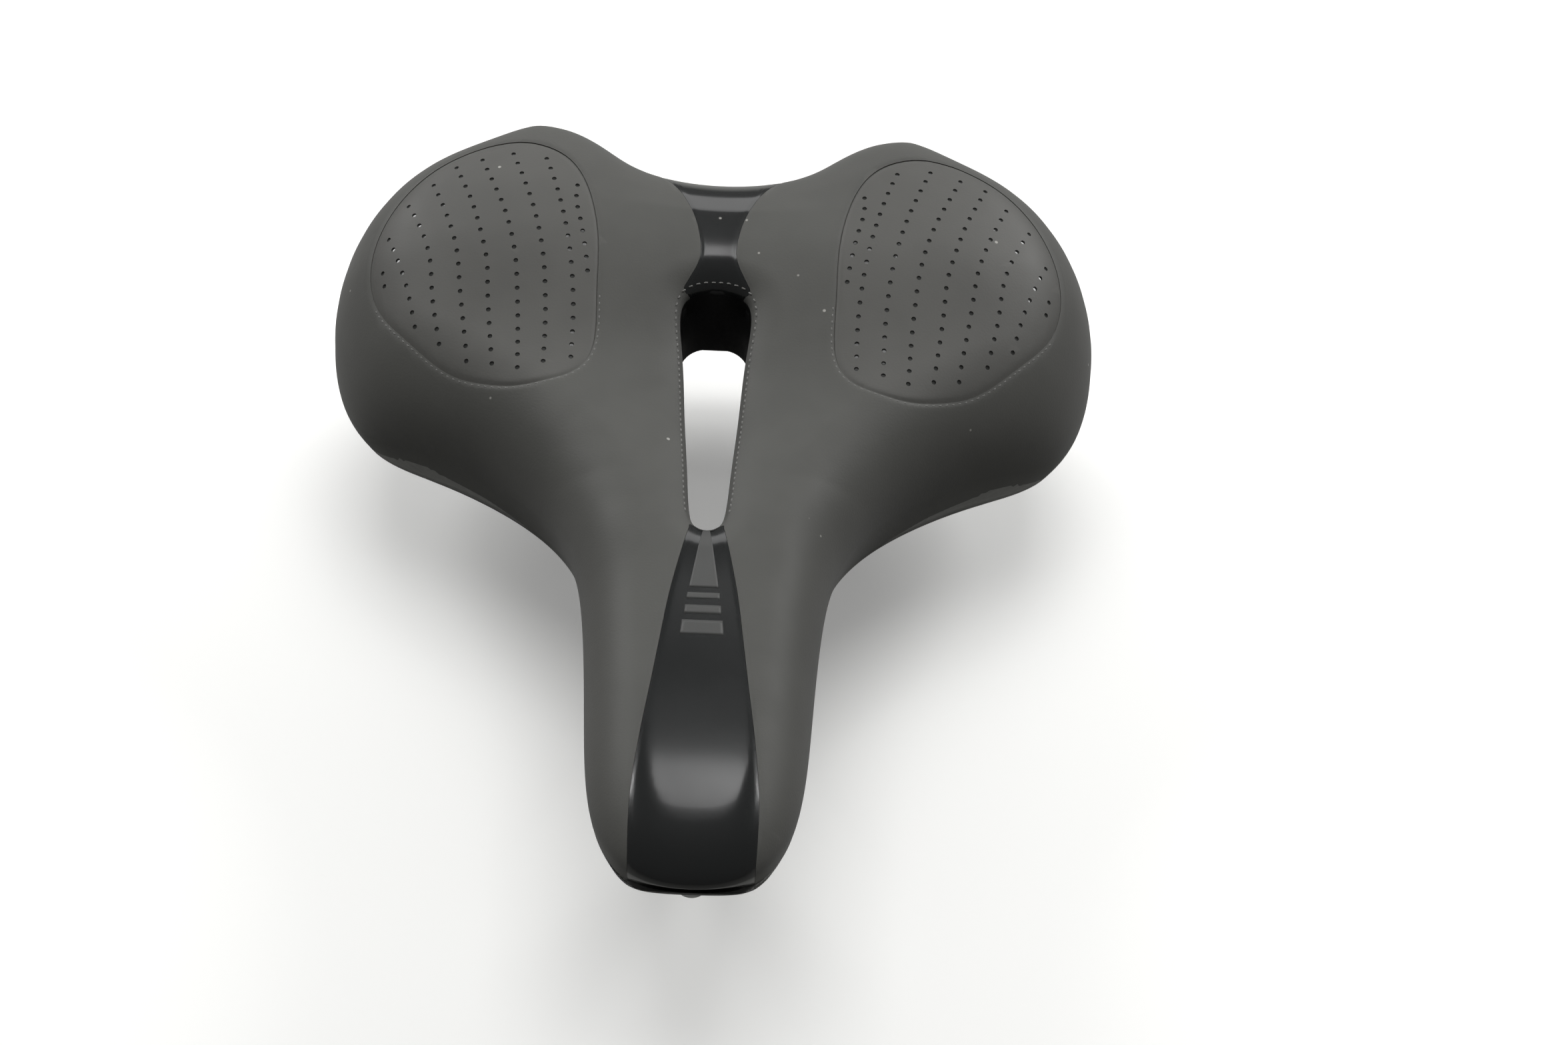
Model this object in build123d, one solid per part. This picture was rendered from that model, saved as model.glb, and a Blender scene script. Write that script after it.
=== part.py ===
from build123d import *
import os

# Bicycle saddle, sprung comfort type. Millimetres, +Z up, nose towards -Y, X across.
# The origin is the seatpost clamp's centre: midway between the two rails' axes.

# seat outline, right half, from the nose tip round to the rear valley
HALF_OUTLINE = [
    (0, -156), (13, -153), (21, -144), (26, -130), (29, -103), (31.5, -73), (37, -47),
    (51, -25), (77, -4.5), (102.5, 12), (113.5, 40.5), (109.5, 68.5), (93, 90), (74, 101.5),
    (60, 109), (45, 107), (31, 98.5), (21, 92.5), (0, 92),
]
SEAT_WIDTH_SCALE = 1.0        # widens or narrows the whole seat
# top line along each half (y, z) and lower edge of the skirt (y, z)
RIDGE = [(-158, 87), (-98, 81.5), (-38, 83.5), (12, 85), (52, 96), (87, 97.5), (114, 92.5)]
SKIRT = [(-160, 76), (-150, 62), (-134, 52), (-40, 47), (12, 36), (45, 36), (85, 47), (125, 58)]
NOSE_RIDGE_X = 10             # ridge offset from the centre line on the nose
WING_RIDGE_X = 48             # and on the wings
NOSE_EDGE_X = 30
WING_EDGE_X = 104
NOSE_DROOP = 3.5              # fall from ridge to edge
WING_DROOP_FRONT = 14
WING_DROOP_REAR = 10
CHANNEL_DEPTH = 4             # dip along the centre line
VALLEY_DEPTH = 12             # dip between the rear lobes
ROWS = 14                     # sections that the crowned top is lofted through
COLUMNS = 12                  # points across each section

COVER = 1.5                   # cover thickness
COVER_SIDE = 1.2
HEM_WIDTH = 10.0              # cover turned in under the base
PANEL_GAP = 0.1               # between neighbouring cover panels
INSERT_RECESS = 0.3           # inserts sit this far below the cover
GEL_THICK = 6.5
GEL_MARGIN = 5.0
LAYER_GAP = 0.05

OPENING_REAR_Y = 37.0
OPENING_FRONT_Y = -49.0
OPENING_REAR_HALF = 10.5
OPENING_FRONT_HALF = 4.4
LINING = 1.2
LINING_DEPTH = 7.0
COLLAR_WALL = 2.6             # tunnel wall of the base round the opening
COLLAR_SETBACK = 0.4
COLLAR_TOP_GAP = 0.3          # between the lining's lower edge and the tunnel wall

BASE_DEPTH = 22.0             # from the seat's top to the base
BASE_WALL = 3.0
BASE_INSET = 5.0
RIB_DEPTH = 7.0
RIB_THICK = 2.4
RIB_OFFSET = 5.0              # long ribs, out from the tunnel wall
RIB_LENGTH = 170.0
WING_RIB_LENGTH = 80.0
WING_RIBS_Y = (-20, 12, 48)
CENTRE_RIBS_Y = (-84, -66, 62)
FLANGE_WIDTH = 8.0
FLANGE_THICK = 3.5

RAIL_R = 3.5
RAIL_SPACING = 44.0           # between the two rails' axes in the clamp section
RAIL_FRONT_BEND_Y = -49.0     # corners of the rail's path
RAIL_REAR_BEND_Y = 51.0
RAIL_FRONT_RADIUS = 40.0
RAIL_REAR_RADIUS = 28.0
PIVOT_Y = -120.0              # nose cross bar, the suspension's hinge
PIVOT_Z = 45.0
CROSSBAR_HALF = 13.0
CROSSBAR_RADIUS = 5.0
RAIL_END_X = 31.0
RAIL_END_Y = 87.0
RAIL_END_Z = 27.0
RAIL_END_BEND_Y = 74.0
RAIL_END_RADIUS = 14.0
PIN_CLEARANCE = 0.05

MOUNT_X = 45.0                # elastomers and their bolts
MOUNT_Y = 77.0
BRACKET_THICK = 2.5
BRACKET_LUG_R = 17.0
BRACKET_BAR = 20.0            # width of the bar between the lugs
BRACKET_LIP = 6.0
ELASTOMER_R = 13.5            # at the bulges
ELASTOMER_WAIST = 11.0        # between them
ELASTOMER_BULGES = 3
ELASTOMER_CLEARANCE = 1.2     # to the base's flange
ELASTOMER_HEIGHT = 29.0
ELASTOMER_BORE = 3.6
BOLT_R = 3.0
BOLT_FIT = 0.15
BRACKET_HOLE_R = 5.0          # lets the bolt swing as the seat sinks
BOSS_R = 17.0
HEAD_R = 5.8
HEAD_THICK = 4.0
HEAD_FLOOR = 6.0              # boss thickness under the bolt head
WASHER_R = 9.0
WASHER_THICK = 1.6
NUT_THICK = 6.0

CLIP_HALF = 8.0               # nose clip, half width along the cross bar
CLIP_LENGTH = 32.0
CLIP_WALL = 3.0
SCREW_R = 2.5
SCREW_OFFSET = 11.0           # screws ahead of and behind the cross bar
SCREW_LENGTH = 16.0

STAPLE_COUNT = 30
STAPLE_WIDTH = 9.0
STAPLE_WIRE = 0.6
STAPLE_LEG = 4.4
STAPLES_FROM_Y = -128         # the tight nose end is glued

bracketTop = RAIL_END_Z + RAIL_R + BRACKET_THICK
bossBottom = bracketTop + ELASTOMER_HEIGHT
bracketBottom = bracketTop - BRACKET_THICK


def hermite(stations, y):
    """Smooth value along y through (y, value) stations, flat beyond the ends."""
    if y <= stations[0][0]:
        return stations[0][1]
    if y >= stations[-1][0]:
        return stations[-1][1]
    slopes = []
    for i in range(len(stations)):
        a = stations[max(i - 1, 0)]
        b = stations[min(i + 1, len(stations) - 1)]
        slopes.append((b[1] - a[1]) / (b[0] - a[0]))
    for i in range(len(stations) - 1):
        (y0, v0), (y1, v1) = stations[i], stations[i + 1]
        if y <= y1:
            h = y1 - y0
            t = (y - y0) / h
            return (
                v0 * (2 * t**3 - 3 * t**2 + 1) + slopes[i] * h * (t**3 - 2 * t**2 + t)
                + v1 * (3 * t**2 - 2 * t**3) + slopes[i + 1] * h * (t**3 - t**2)
            )


def ease(low, high, value):
    t = min(max((value - low) / (high - low), 0), 1)
    return t * t * (3 - 2 * t)


def crown(x, y):
    """Height of the seat's top before its edge is rounded."""
    across = abs(x) / SEAT_WIDTH_SCALE
    wing = ease(-68, 2, y)
    rear = min(max((y - 2) / 90, 0), 1)
    ridgeX = NOSE_RIDGE_X * (1 - wing) + WING_RIDGE_X * wing
    edgeX = NOSE_EDGE_X * (1 - wing) + WING_EDGE_X * wing
    wingDroop = WING_DROOP_FRONT * (1 - rear) + WING_DROOP_REAR * rear
    droop = NOSE_DROOP * (1 - wing) + wingDroop * wing
    outward = min(max((across - ridgeX) / (edgeX - ridgeX), 0), 1.2)
    valley = min(max((y - 62) / 40, 0), 1)
    dip = wing * (CHANNEL_DEPTH * (1 - valley) + VALLEY_DEPTH * valley)
    return hermite(RIDGE, y) - droop * outward**2 - dip * ease(0, 1, (ridgeX - across) / ridgeX)


def outline():
    right = [(x * SEAT_WIDTH_SCALE, y) for x, y in HALF_OUTLINE]
    left = [(-x, y) for x, y in reversed(right[1:-1])]
    return make_face(Spline(*right, *left, periodic=True))


seatPlan = outline().face()

def crownedBlock():
    """Solid under the seat's crowned top, wider than the seat."""
    wide = 122 * SEAT_WIDTH_SCALE
    sections = []
    for j in range(ROWS + 1):
        y = -162 + 276 * j / ROWS
        across = [wide * (2 * i / COLUMNS - 1) for i in range(COLUMNS + 1)]
        points = [(x, y, crown(x, y)) for x in across]
        frame = Polyline(points[-1], (wide, y, -30), (-wide, y, -30), points[0])
        sections.append(make_face(Curve() + [Spline(*points), frame]).face())
    return loft(sections)


def planPrism(face, low=-20, high=140):
    return extrude(Pos(0, 0, low) * face, amount=high - low)


def grown(face, grow, count):
    """The same smooth outline, moved outwards by grow (inwards if negative)."""
    wire = face.outer_wire()
    spots = [i / count for i in range(count)]
    at = [wire.position_at(t) for t in spots]
    along = [wire.tangent_at(t) for t in spots]
    area = sum(at[i - 1].X * at[i].Y - at[i].X * at[i - 1].Y for i in range(count))
    out = grow if area > 0 else -grow
    points = [(p.X + t.Y * out, p.Y - t.X * out) for p, t in zip(at, along)]
    return make_face(Spline(*points, periodic=True)).face()


def seatPrism(inset):
    return planPrism(grown(seatPlan, -inset, 48) if inset else seatPlan)


def belowSkirt(lift):
    """Everything under the skirt's lower edge raised by lift."""
    edge = Spline(*[(0, y, z + lift) for y, z in SKIRT])
    ends = [(0, SKIRT[-1][0], SKIRT[-1][1] + lift), (0, SKIRT[-1][0], -60),
            (0, SKIRT[0][0], -60), (0, SKIRT[0][0], SKIRT[0][1] + lift)]
    face = make_face(Curve() + [edge, Polyline(*ends)])
    return extrude(face, amount=150 * SEAT_WIDTH_SCALE, both=True)


def openingPlan(grow):
    """Central opening, a long wedge with rounded ends, grown by grow on every side."""
    corners = [
        (-OPENING_REAR_HALF, OPENING_REAR_Y), (OPENING_REAR_HALF, OPENING_REAR_Y),
        (OPENING_FRONT_HALF, OPENING_FRONT_Y), (-OPENING_FRONT_HALF, OPENING_FRONT_Y),
    ]
    face = make_face(Polyline(*corners, close=True))
    rear = face.vertices().sort_by(Axis.Y)[-2:]
    face = fillet(rear, OPENING_REAR_HALF * 0.75)
    front = face.vertices().sort_by(Axis.Y)[:2]
    face = fillet(front, OPENING_FRONT_HALF * 0.8)
    return offset(face, grow) if grow else face


INSERT_OUTLINE = [
    (34, 30), (34, 14), (37.5, 5.5), (44, 1), (53, -1), (62, 0.8), (74, 6.5), (86, 17),
    (96, 28.5), (100.5, 41), (99.5, 54), (94, 66), (84, 77), (70, 84), (56, 84), (44, 76),
    (37, 60), (34.5, 45),
]
NOSE_PANEL = [(-50, 4.6), (-74, 9), (-88, 10.7), (-102, 12.3), (-117, 14.1), (-132, 15.5), (-160, 15)]
REAR_PANEL = [(36, 9.5), (44, 5.5), (54, 6), (66, 10), (80, 17), (94, 22), (112, 26)]


def insertPlan(grow, side):
    points = [(x * SEAT_WIDTH_SCALE * side, y) for x, y in INSERT_OUTLINE]
    face = make_face(Spline(*points, periodic=True)).face()
    return grown(face, grow, 36) if grow else face


def panelPlan(stations, grow=0.0):
    """Panel across the centre line, from (y, half width) stations."""
    right = [(w + grow, y) for y, w in stations]
    left = [(-w - grow, y) for y, w in reversed(stations)]
    edges = [Spline(*right), Line(right[-1], left[0]), Spline(*left), Line(left[-1], right[0])]
    return make_face(Curve() + edges)


def cylinderAt(x, y, low, high, radius):
    return Pos(x, y, (low + high) / 2) * Cylinder(radius, high - low)


def hexAt(x, y, low, high, radius):
    return Pos(x, y, low) * extrude(RegularPolygon(radius, 6), amount=high - low)


parts = {}

outerBlock = crownedBlock()


def body(depth, inset):
    """The seat's solid with its top lowered by depth and its sides set in by inset."""
    return (Pos(0, 0, -depth) * outerBlock) & seatPrism(inset)


# ---- base shell: the moulded plate that carries the padding ----
baseSolid = body(BASE_DEPTH, BASE_INSET)
baseInside = body(BASE_DEPTH + BASE_WALL, BASE_INSET + BASE_WALL)


def baseShell():
    flangeRing = seatPrism(BASE_INSET) - seatPrism(BASE_INSET + FLANGE_WIDTH)
    flange = (flangeRing & belowSkirt(FLANGE_THICK)) & baseSolid
    ribZone = baseSolid - (Pos(0, 0, -RIB_DEPTH) * baseInside)
    ribX = OPENING_REAR_HALF + COLLAR_SETBACK + COLLAR_WALL + RIB_OFFSET
    wingX = ribX + WING_RIB_LENGTH / 2
    bars = [Pos(s * ribX, 0, 60) * Box(RIB_THICK, RIB_LENGTH, 80) for s in (-1, 1)]
    for y in WING_RIBS_Y:
        bars += [Pos(s * wingX, y, 60) * Box(WING_RIB_LENGTH, RIB_THICK, 80) for s in (-1, 1)]
    bars += [Pos(0, y, 60) * Box(2 * ribX, RIB_THICK, 80) for y in CENTRE_RIBS_Y]
    ribs = ribZone & (Part() + bars)
    bosses = [cylinderAt(s * MOUNT_X, MOUNT_Y, bossBottom, 100, BOSS_R) for s in (-1, 1)]
    seatBlock = Pos(0, PIVOT_Y, PIVOT_Z + 30) * Box(2 * CLIP_HALF, CLIP_LENGTH, 60)
    solid = (baseSolid - baseInside) + flange + ribs
    solid = solid + (baseSolid & (Part() + bosses)) + (baseSolid & seatBlock)
    collar = planPrism(openingPlan(COLLAR_SETBACK + COLLAR_WALL)) & body(LINING_DEPTH + COLLAR_TOP_GAP, 0)
    collar = collar - planPrism(openingPlan(COLLAR_SETBACK))
    collar = collar - (Pos(0, 0, -BASE_WALL) * baseInside)
    solid = (solid - planPrism(openingPlan(COLLAR_SETBACK))) + collar
    solid = solid - belowSkirt(0)
    for s in (-1, 1):
        solid = solid - cylinderAt(s * MOUNT_X, MOUNT_Y, 0, 120, BOLT_R + BOLT_FIT)
        reach = ELASTOMER_R + ELASTOMER_CLEARANCE
        solid = solid - cylinderAt(s * MOUNT_X, MOUNT_Y, 0, bossBottom, reach)
        top = bossBottom + HEAD_FLOOR
        solid = solid - cylinderAt(s * MOUNT_X, MOUNT_Y, top, 120, HEAD_R + 1)
        screwTop = PIVOT_Z + SCREW_LENGTH - CLIP_WALL - RAIL_R
        solid = solid - cylinderAt(0, PIVOT_Y + s * SCREW_OFFSET, 30, screwTop + 0.5, SCREW_R)
    return solid - crossBore()


def crossBore():
    bar = Cylinder(RAIL_R + PIN_CLEARANCE, 60, rotation=(0, 90, 0))
    return Pos(0, PIVOT_Y, PIVOT_Z) * bar


parts["base_shell"] = baseShell()

# ---- padding ----
insertPrism = {s: planPrism(insertPlan(0, s)) for s in (-1, 1)}
gelTop = INSERT_RECESS + COVER + LAYER_GAP
gelBottom = gelTop + GEL_THICK
sideName = {-1: "left", 1: "right"}
gelHole = []
for side in (-1, 1):
    plan = planPrism(insertPlan(-GEL_MARGIN, side))
    pad = (Pos(0, 0, -gelTop) * outerBlock) & plan
    parts[f"gel_pad_{sideName[side]}"] = pad - (Pos(0, 0, -gelBottom) * outerBlock)
    gelHole.append(
        planPrism(insertPlan(LAYER_GAP - GEL_MARGIN, side))
        - (Pos(0, 0, -gelBottom - LAYER_GAP) * outerBlock)
    )


def foamPad():
    foam = body(COVER + LAYER_GAP, COVER_SIDE + LAYER_GAP)
    foam = foam - (Pos(0, 0, LAYER_GAP) * baseSolid) - belowSkirt(0)
    wide = COLLAR_SETBACK + COLLAR_WALL + LAYER_GAP
    foam = foam - planPrism(openingPlan(wide))
    for side in (-1, 1):
        under = planPrism(insertPlan(LAYER_GAP, side))
        foam = foam - (under - (Pos(0, 0, -gelTop) * outerBlock))
    for hole in gelHole:
        foam = foam - hole
    return foam


parts["foam_pad"] = foamPad()

# ---- cover: two matte sides, glossy nose and rear panels, two inserts, the opening's lining ----
skin = body(0, 0) - belowSkirt(-COVER_SIDE)
skin = skin - (body(COVER, COVER_SIDE) - belowSkirt(0))
skin = skin - (seatPrism(HEM_WIDTH) & belowSkirt(LAYER_GAP))
skin = skin - planPrism(openingPlan(LINING + LAYER_GAP))
nosePlan = planPrism(panelPlan(NOSE_PANEL))
rearPlan = planPrism(panelPlan(REAR_PANEL))
parts["nose_panel"] = skin & nosePlan
parts["rear_panel"] = skin & rearPlan
sides = skin - planPrism(panelPlan(NOSE_PANEL, PANEL_GAP))
sides = sides - planPrism(panelPlan(REAR_PANEL, PANEL_GAP))
for side in (-1, 1):
    half = Pos(side * 200, 0, 0) * Box(400, 600, 600)
    parts[f"cover_{sideName[side]}"] = (sides & half) - planPrism(insertPlan(PANEL_GAP, side))
    insert = (Pos(0, 0, -INSERT_RECESS) * outerBlock) & insertPrism[side]
    parts[f"insert_{sideName[side]}"] = insert - (Pos(0, 0, -INSERT_RECESS - COVER) * outerBlock)
ring = planPrism(openingPlan(LINING)) - planPrism(openingPlan(0))
lining = ring & outerBlock
parts["opening_lining"] = lining - (Pos(0, 0, -LINING_DEPTH) * outerBlock)

# ---- rails, bent from one wire: the cross bar in the nose is the hinge pin ----
railX = RAIL_SPACING / 2


def railFrame():
    half = [
        (RAIL_END_X, RAIL_END_Y, RAIL_END_Z), (RAIL_END_X - 1, RAIL_END_BEND_Y, RAIL_END_Z),
        (railX, RAIL_REAR_BEND_Y, 0), (railX, RAIL_FRONT_BEND_Y, 0),
        (CROSSBAR_HALF, PIVOT_Y, PIVOT_Z),
    ]
    radii = [RAIL_END_RADIUS, RAIL_REAR_RADIUS, RAIL_FRONT_RADIUS, CROSSBAR_RADIUS]
    points = half + [(-x, y, z) for x, y, z in reversed(half)]
    path = FilletPolyline(*points, radius=radii + radii[::-1])
    section = Plane(origin=path @ 0, z_dir=path % 0) * Circle(RAIL_R)
    return sweep(section, path=path)


parts["rail_frame"] = railFrame()

# ---- rear bracket, pressed from plate ----


def rearBracket():
    plan = Rectangle(2 * MOUNT_X, BRACKET_BAR)
    plan = plan + [Pos(s * MOUNT_X, 0) * Circle(BRACKET_LUG_R) for s in (-1, 1)]
    corners = [v for v in plan.vertices() if abs(v.Y) < BRACKET_LUG_R]
    plan = fillet(corners, 8)
    plate = Pos(0, MOUNT_Y, bracketBottom) * extrude(plan, amount=BRACKET_THICK)
    lipY = MOUNT_Y + BRACKET_BAR / 2 - BRACKET_THICK / 2
    lipZ = bracketBottom - BRACKET_LIP / 2
    lip = Pos(0, lipY, lipZ) * Box(2 * RAIL_END_X - 10, BRACKET_THICK, BRACKET_LIP)
    slot = Pos(0, MOUNT_Y - 1, bracketBottom) * extrude(SlotOverall(32, 8), amount=BRACKET_THICK)
    solid = plate + lip - slot
    for s in (-1, 1):
        solid = solid - cylinderAt(s * MOUNT_X, MOUNT_Y, 0, 60, BRACKET_HOLE_R)
    return solid


parts["rear_bracket"] = rearBracket()
beads = []
for side in (-1, 1):
    for flank in (-1, 1):
        x = side * (RAIL_END_X - 0.5) + flank * (RAIL_R - 0.4)
        bead = Cylinder(1.3, 9, rotation=(90, 0, 0))
        beads.append(Pos(x, MOUNT_Y + 2, bracketBottom - 1.2) * bead)
parts["weld_beads"] = Compound(children=beads)


# ---- elastomers ----
def elastomer(x):
    bulge = ELASTOMER_HEIGHT / (2 * ELASTOMER_BULGES)
    profile = []
    for i in range(ELASTOMER_BULGES):
        mid = (2 * i + 1) * bulge
        start, end = (ELASTOMER_WAIST, mid - bulge), (ELASTOMER_WAIST, mid + bulge)
        profile.append(ThreePointArc(start, (ELASTOMER_R, mid), end))
    close = Polyline(
        (ELASTOMER_WAIST, ELASTOMER_HEIGHT), (ELASTOMER_BORE, ELASTOMER_HEIGHT),
        (ELASTOMER_BORE, 0), (ELASTOMER_WAIST, 0),
    )
    face = make_face(Plane.XZ * (Curve() + profile + [close]))
    return Pos(x, MOUNT_Y, bracketTop) * revolve(face, Axis.Z)


parts["elastomer_left"] = elastomer(-MOUNT_X)
parts["elastomer_right"] = elastomer(MOUNT_X)

# ---- bolts, washers and nuts of the elastomers ----
headBottom = bossBottom + HEAD_FLOOR
nutBottom = bracketBottom - WASHER_THICK - NUT_THICK
bolts, washers, nuts = [], [], []
for x in (-MOUNT_X, MOUNT_X):
    shank = cylinderAt(x, MOUNT_Y, nutBottom - 1.5, headBottom + 1, BOLT_R)
    bolts.append(shank + hexAt(x, MOUNT_Y, headBottom, headBottom + HEAD_THICK, HEAD_R))
    washer = cylinderAt(x, MOUNT_Y, bracketBottom - WASHER_THICK, bracketBottom, WASHER_R)
    washers.append(washer - cylinderAt(x, MOUNT_Y, 0, 60, BOLT_R + BOLT_FIT))
    nut = hexAt(x, MOUNT_Y, nutBottom, nutBottom + NUT_THICK, HEAD_R)
    nuts.append(nut - cylinderAt(x, MOUNT_Y, 0, 60, BOLT_R + 0.02))
parts["suspension_bolts"] = Compound(children=bolts)
parts["bolt_washers"] = Compound(children=washers)
parts["bolt_nuts"] = Compound(children=nuts)


# ---- nose clip and its screws ----
def noseClip():
    height = RAIL_R + CLIP_WALL
    block = Pos(0, PIVOT_Y, PIVOT_Z - height / 2) * Box(2 * CLIP_HALF, CLIP_LENGTH, height)
    lower = block.edges().filter_by(Axis.X).sort_by(Axis.Z)[:2]
    block = fillet(lower, 3)
    for s in (-1, 1):
        block = block - cylinderAt(0, PIVOT_Y + s * SCREW_OFFSET, 0, 80, SCREW_R + BOLT_FIT)
    return block - crossBore()


parts["nose_clip"] = noseClip()
screws = []
for s in (-1, 1):
    y, low = PIVOT_Y + s * SCREW_OFFSET, PIVOT_Z - RAIL_R - CLIP_WALL
    head = cylinderAt(0, y, low - 3, low, 4.4)
    head = head - hexAt(0, y, low - 3, low - 1.2, 1.9)
    shank = cylinderAt(0, y, low - 0.5, low + SCREW_LENGTH, SCREW_R - 0.02)
    screws.append(head + shank)
parts["clip_screws"] = Compound(children=screws)


# ---- staples that hold the hem to the base's flange ----
def staples():
    made = []
    path = grown(seatPlan, -BASE_INSET - FLANGE_WIDTH / 2, 48).outer_wire()
    for i in range(STAPLE_COUNT):
        at = path.position_at((i + 0.5) / STAPLE_COUNT)
        along = path.tangent_at((i + 0.5) / STAPLE_COUNT)
        if at.Y < STAPLES_FROM_Y:
            continue
        z = hermite(SKIRT, at.Y) - COVER_SIDE
        ahead = hermite(SKIRT, at.Y + 3 * along.Y) - hermite(SKIRT, at.Y - 3 * along.Y)
        lean = Vector(along.X, along.Y, ahead / 6)
        place = Plane(origin=(at.X, at.Y, z), x_dir=lean, z_dir=Vector(0, -lean.Z, 1))
        crownBar = Pos(0, 0, -0.35) * Box(STAPLE_WIDTH, 0.9, STAPLE_WIRE)
        legX = (STAPLE_WIDTH - STAPLE_WIRE) / 2
        legs = [Pos(s * legX, 0, 1.6) * Box(STAPLE_WIRE, 0.9, STAPLE_LEG) for s in (-1, 1)]
        made.append(place * (crownBar + legs))
    return Compound(children=made)


parts["cover_staples"] = staples()

os.makedirs("parts", exist_ok=True)
for name, shape in parts.items():
    export_step(shape, f"parts/{name}.step")
    print(name, round(shape.volume, 1))
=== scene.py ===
import bpy
import math
import numpy as np
from mathutils import Matrix, Vector


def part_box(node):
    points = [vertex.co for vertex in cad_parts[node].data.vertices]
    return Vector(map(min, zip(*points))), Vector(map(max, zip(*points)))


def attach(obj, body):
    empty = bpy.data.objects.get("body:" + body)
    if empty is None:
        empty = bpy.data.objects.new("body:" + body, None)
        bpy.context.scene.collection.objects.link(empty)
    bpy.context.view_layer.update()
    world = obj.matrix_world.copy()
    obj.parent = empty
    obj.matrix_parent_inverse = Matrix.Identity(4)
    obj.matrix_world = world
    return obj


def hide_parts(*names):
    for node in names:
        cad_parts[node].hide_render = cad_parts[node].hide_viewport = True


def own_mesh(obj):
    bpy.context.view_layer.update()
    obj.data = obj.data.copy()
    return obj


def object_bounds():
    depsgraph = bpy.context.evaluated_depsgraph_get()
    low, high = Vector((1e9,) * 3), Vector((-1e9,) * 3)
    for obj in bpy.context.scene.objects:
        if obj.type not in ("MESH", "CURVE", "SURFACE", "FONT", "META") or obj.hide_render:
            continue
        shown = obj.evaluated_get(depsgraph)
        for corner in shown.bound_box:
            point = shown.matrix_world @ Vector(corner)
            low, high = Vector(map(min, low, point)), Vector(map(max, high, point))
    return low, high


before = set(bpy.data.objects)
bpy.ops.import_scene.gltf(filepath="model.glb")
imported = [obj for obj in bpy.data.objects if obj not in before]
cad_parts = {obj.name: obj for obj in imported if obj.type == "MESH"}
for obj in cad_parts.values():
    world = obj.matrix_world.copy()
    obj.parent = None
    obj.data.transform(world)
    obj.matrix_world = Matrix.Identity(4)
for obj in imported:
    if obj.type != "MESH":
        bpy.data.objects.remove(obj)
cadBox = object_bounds()
mm = 0.001
print("frame loaded")


# small helpers
def ease(low, high, value):
    t = np.clip((value - low) / (high - low), 0, 1)
    return t * t * (3 - 2 * t)


def smoothRamp(stations, y):  # smooth value along y through (y, value) stations
    ys = np.array([s[0] for s in stations], float)
    vs = np.array([s[1] for s in stations], float)
    slope = np.gradient(vs, ys)
    y = np.clip(np.asarray(y, float), ys[0], ys[-1])
    i = np.clip(np.searchsorted(ys, y) - 1, 0, len(ys) - 2)
    h = ys[i + 1] - ys[i]
    t = (y - ys[i]) / h
    return (vs[i] * (2 * t**3 - 3 * t**2 + 1) + slope[i] * h * (t**3 - 2 * t**2 + t)
            + vs[i + 1] * (3 * t**2 - 2 * t**3) + slope[i + 1] * h * (t**3 - t**2))


def closedCurve(points, count, keys=None):
    # evenly timed points on a smooth closed curve; keys map even steps to chosen corners
    p = np.array(points, float)
    n = len(p)
    gap = np.linalg.norm(np.roll(p, -1, 0) - p, axis=1) ** 0.5
    knots = np.concatenate([[0], np.cumsum(gap)])
    system = np.zeros((n, n))
    right = np.zeros((n, 2))
    for i in range(n):
        before, after = gap[i - 1], gap[i]
        system[i, i - 1] += before
        system[i, i] += 2 * (before + after)
        system[i, (i + 1) % n] += after
        right[i] = 6 * ((p[(i + 1) % n] - p[i]) / after - (p[i] - p[i - 1]) / before)
    bend = np.linalg.solve(system, right)
    fine = np.linspace(0, knots[-1], 6001)[:-1]
    k = np.clip(np.searchsorted(knots, fine, side="right") - 1, 0, n - 1)
    h = gap[k][:, None]
    a = ((knots[k + 1] - fine)[:, None]) / h
    b = 1 - a
    nxt = (k + 1) % n
    line = a * p[k] + b * p[nxt] + ((a**3 - a) * bend[k] + (b**3 - b) * bend[nxt]) * h**2 / 6
    run = np.concatenate([[0], np.cumsum(np.linalg.norm(np.diff(line, axis=0), axis=1))])
    total = run[-1] + np.linalg.norm(line[0] - line[-1])
    steps = np.arange(count) / count
    if keys is not None:
        spots = [float(run[int(np.argmin(np.linalg.norm(line - q, axis=1)))]) for q in keys[1]]
        spots[0], spots[-1] = 0.0, total
        steps = np.interp(steps, keys[0], np.array(spots) / total)
    at = steps * total
    whole = np.append(run, total)
    ring = np.vstack([line, line[:1]])
    return np.stack([np.interp(at, whole, ring[:, c]) for c in (0, 1)], 1)


def distanceTo(ring, x, y):  # distance from points to a closed ring of points, measured to its segments
    a = ring
    d = np.roll(ring, -1, 0) - ring
    size = (d**2).sum(1)
    best = np.full(x.shape, 1e9)
    flatX, flatY = x.ravel(), y.ravel()
    out = best.ravel()
    for start in range(0, len(flatX), 4000):
        px, py = flatX[start:start + 4000, None], flatY[start:start + 4000, None]
        t = np.clip(((px - a[:, 0]) * d[:, 0] + (py - a[:, 1]) * d[:, 1]) / size, 0, 1)
        gx, gy = px - a[:, 0] - t * d[:, 0], py - a[:, 1] - t * d[:, 1]
        out[start:start + 4000] = np.sqrt((gx**2 + gy**2).min(1))
    return out.reshape(x.shape)


def insideRing(ring, x, y):  # True where points lie inside a closed ring
    flatX, flatY = np.asarray(x).ravel(), np.asarray(y).ravel()
    inside = np.zeros(len(flatX), bool)
    for (x0, y0), (x1, y1) in zip(ring, np.roll(ring, -1, 0)):
        crosses = (y0 > flatY) != (y1 > flatY)
        if y1 != y0:
            inside ^= crosses & (flatX < (x1 - x0) * (flatY - y0) / (y1 - y0) + x0)
    return inside.reshape(np.asarray(x).shape)


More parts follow.
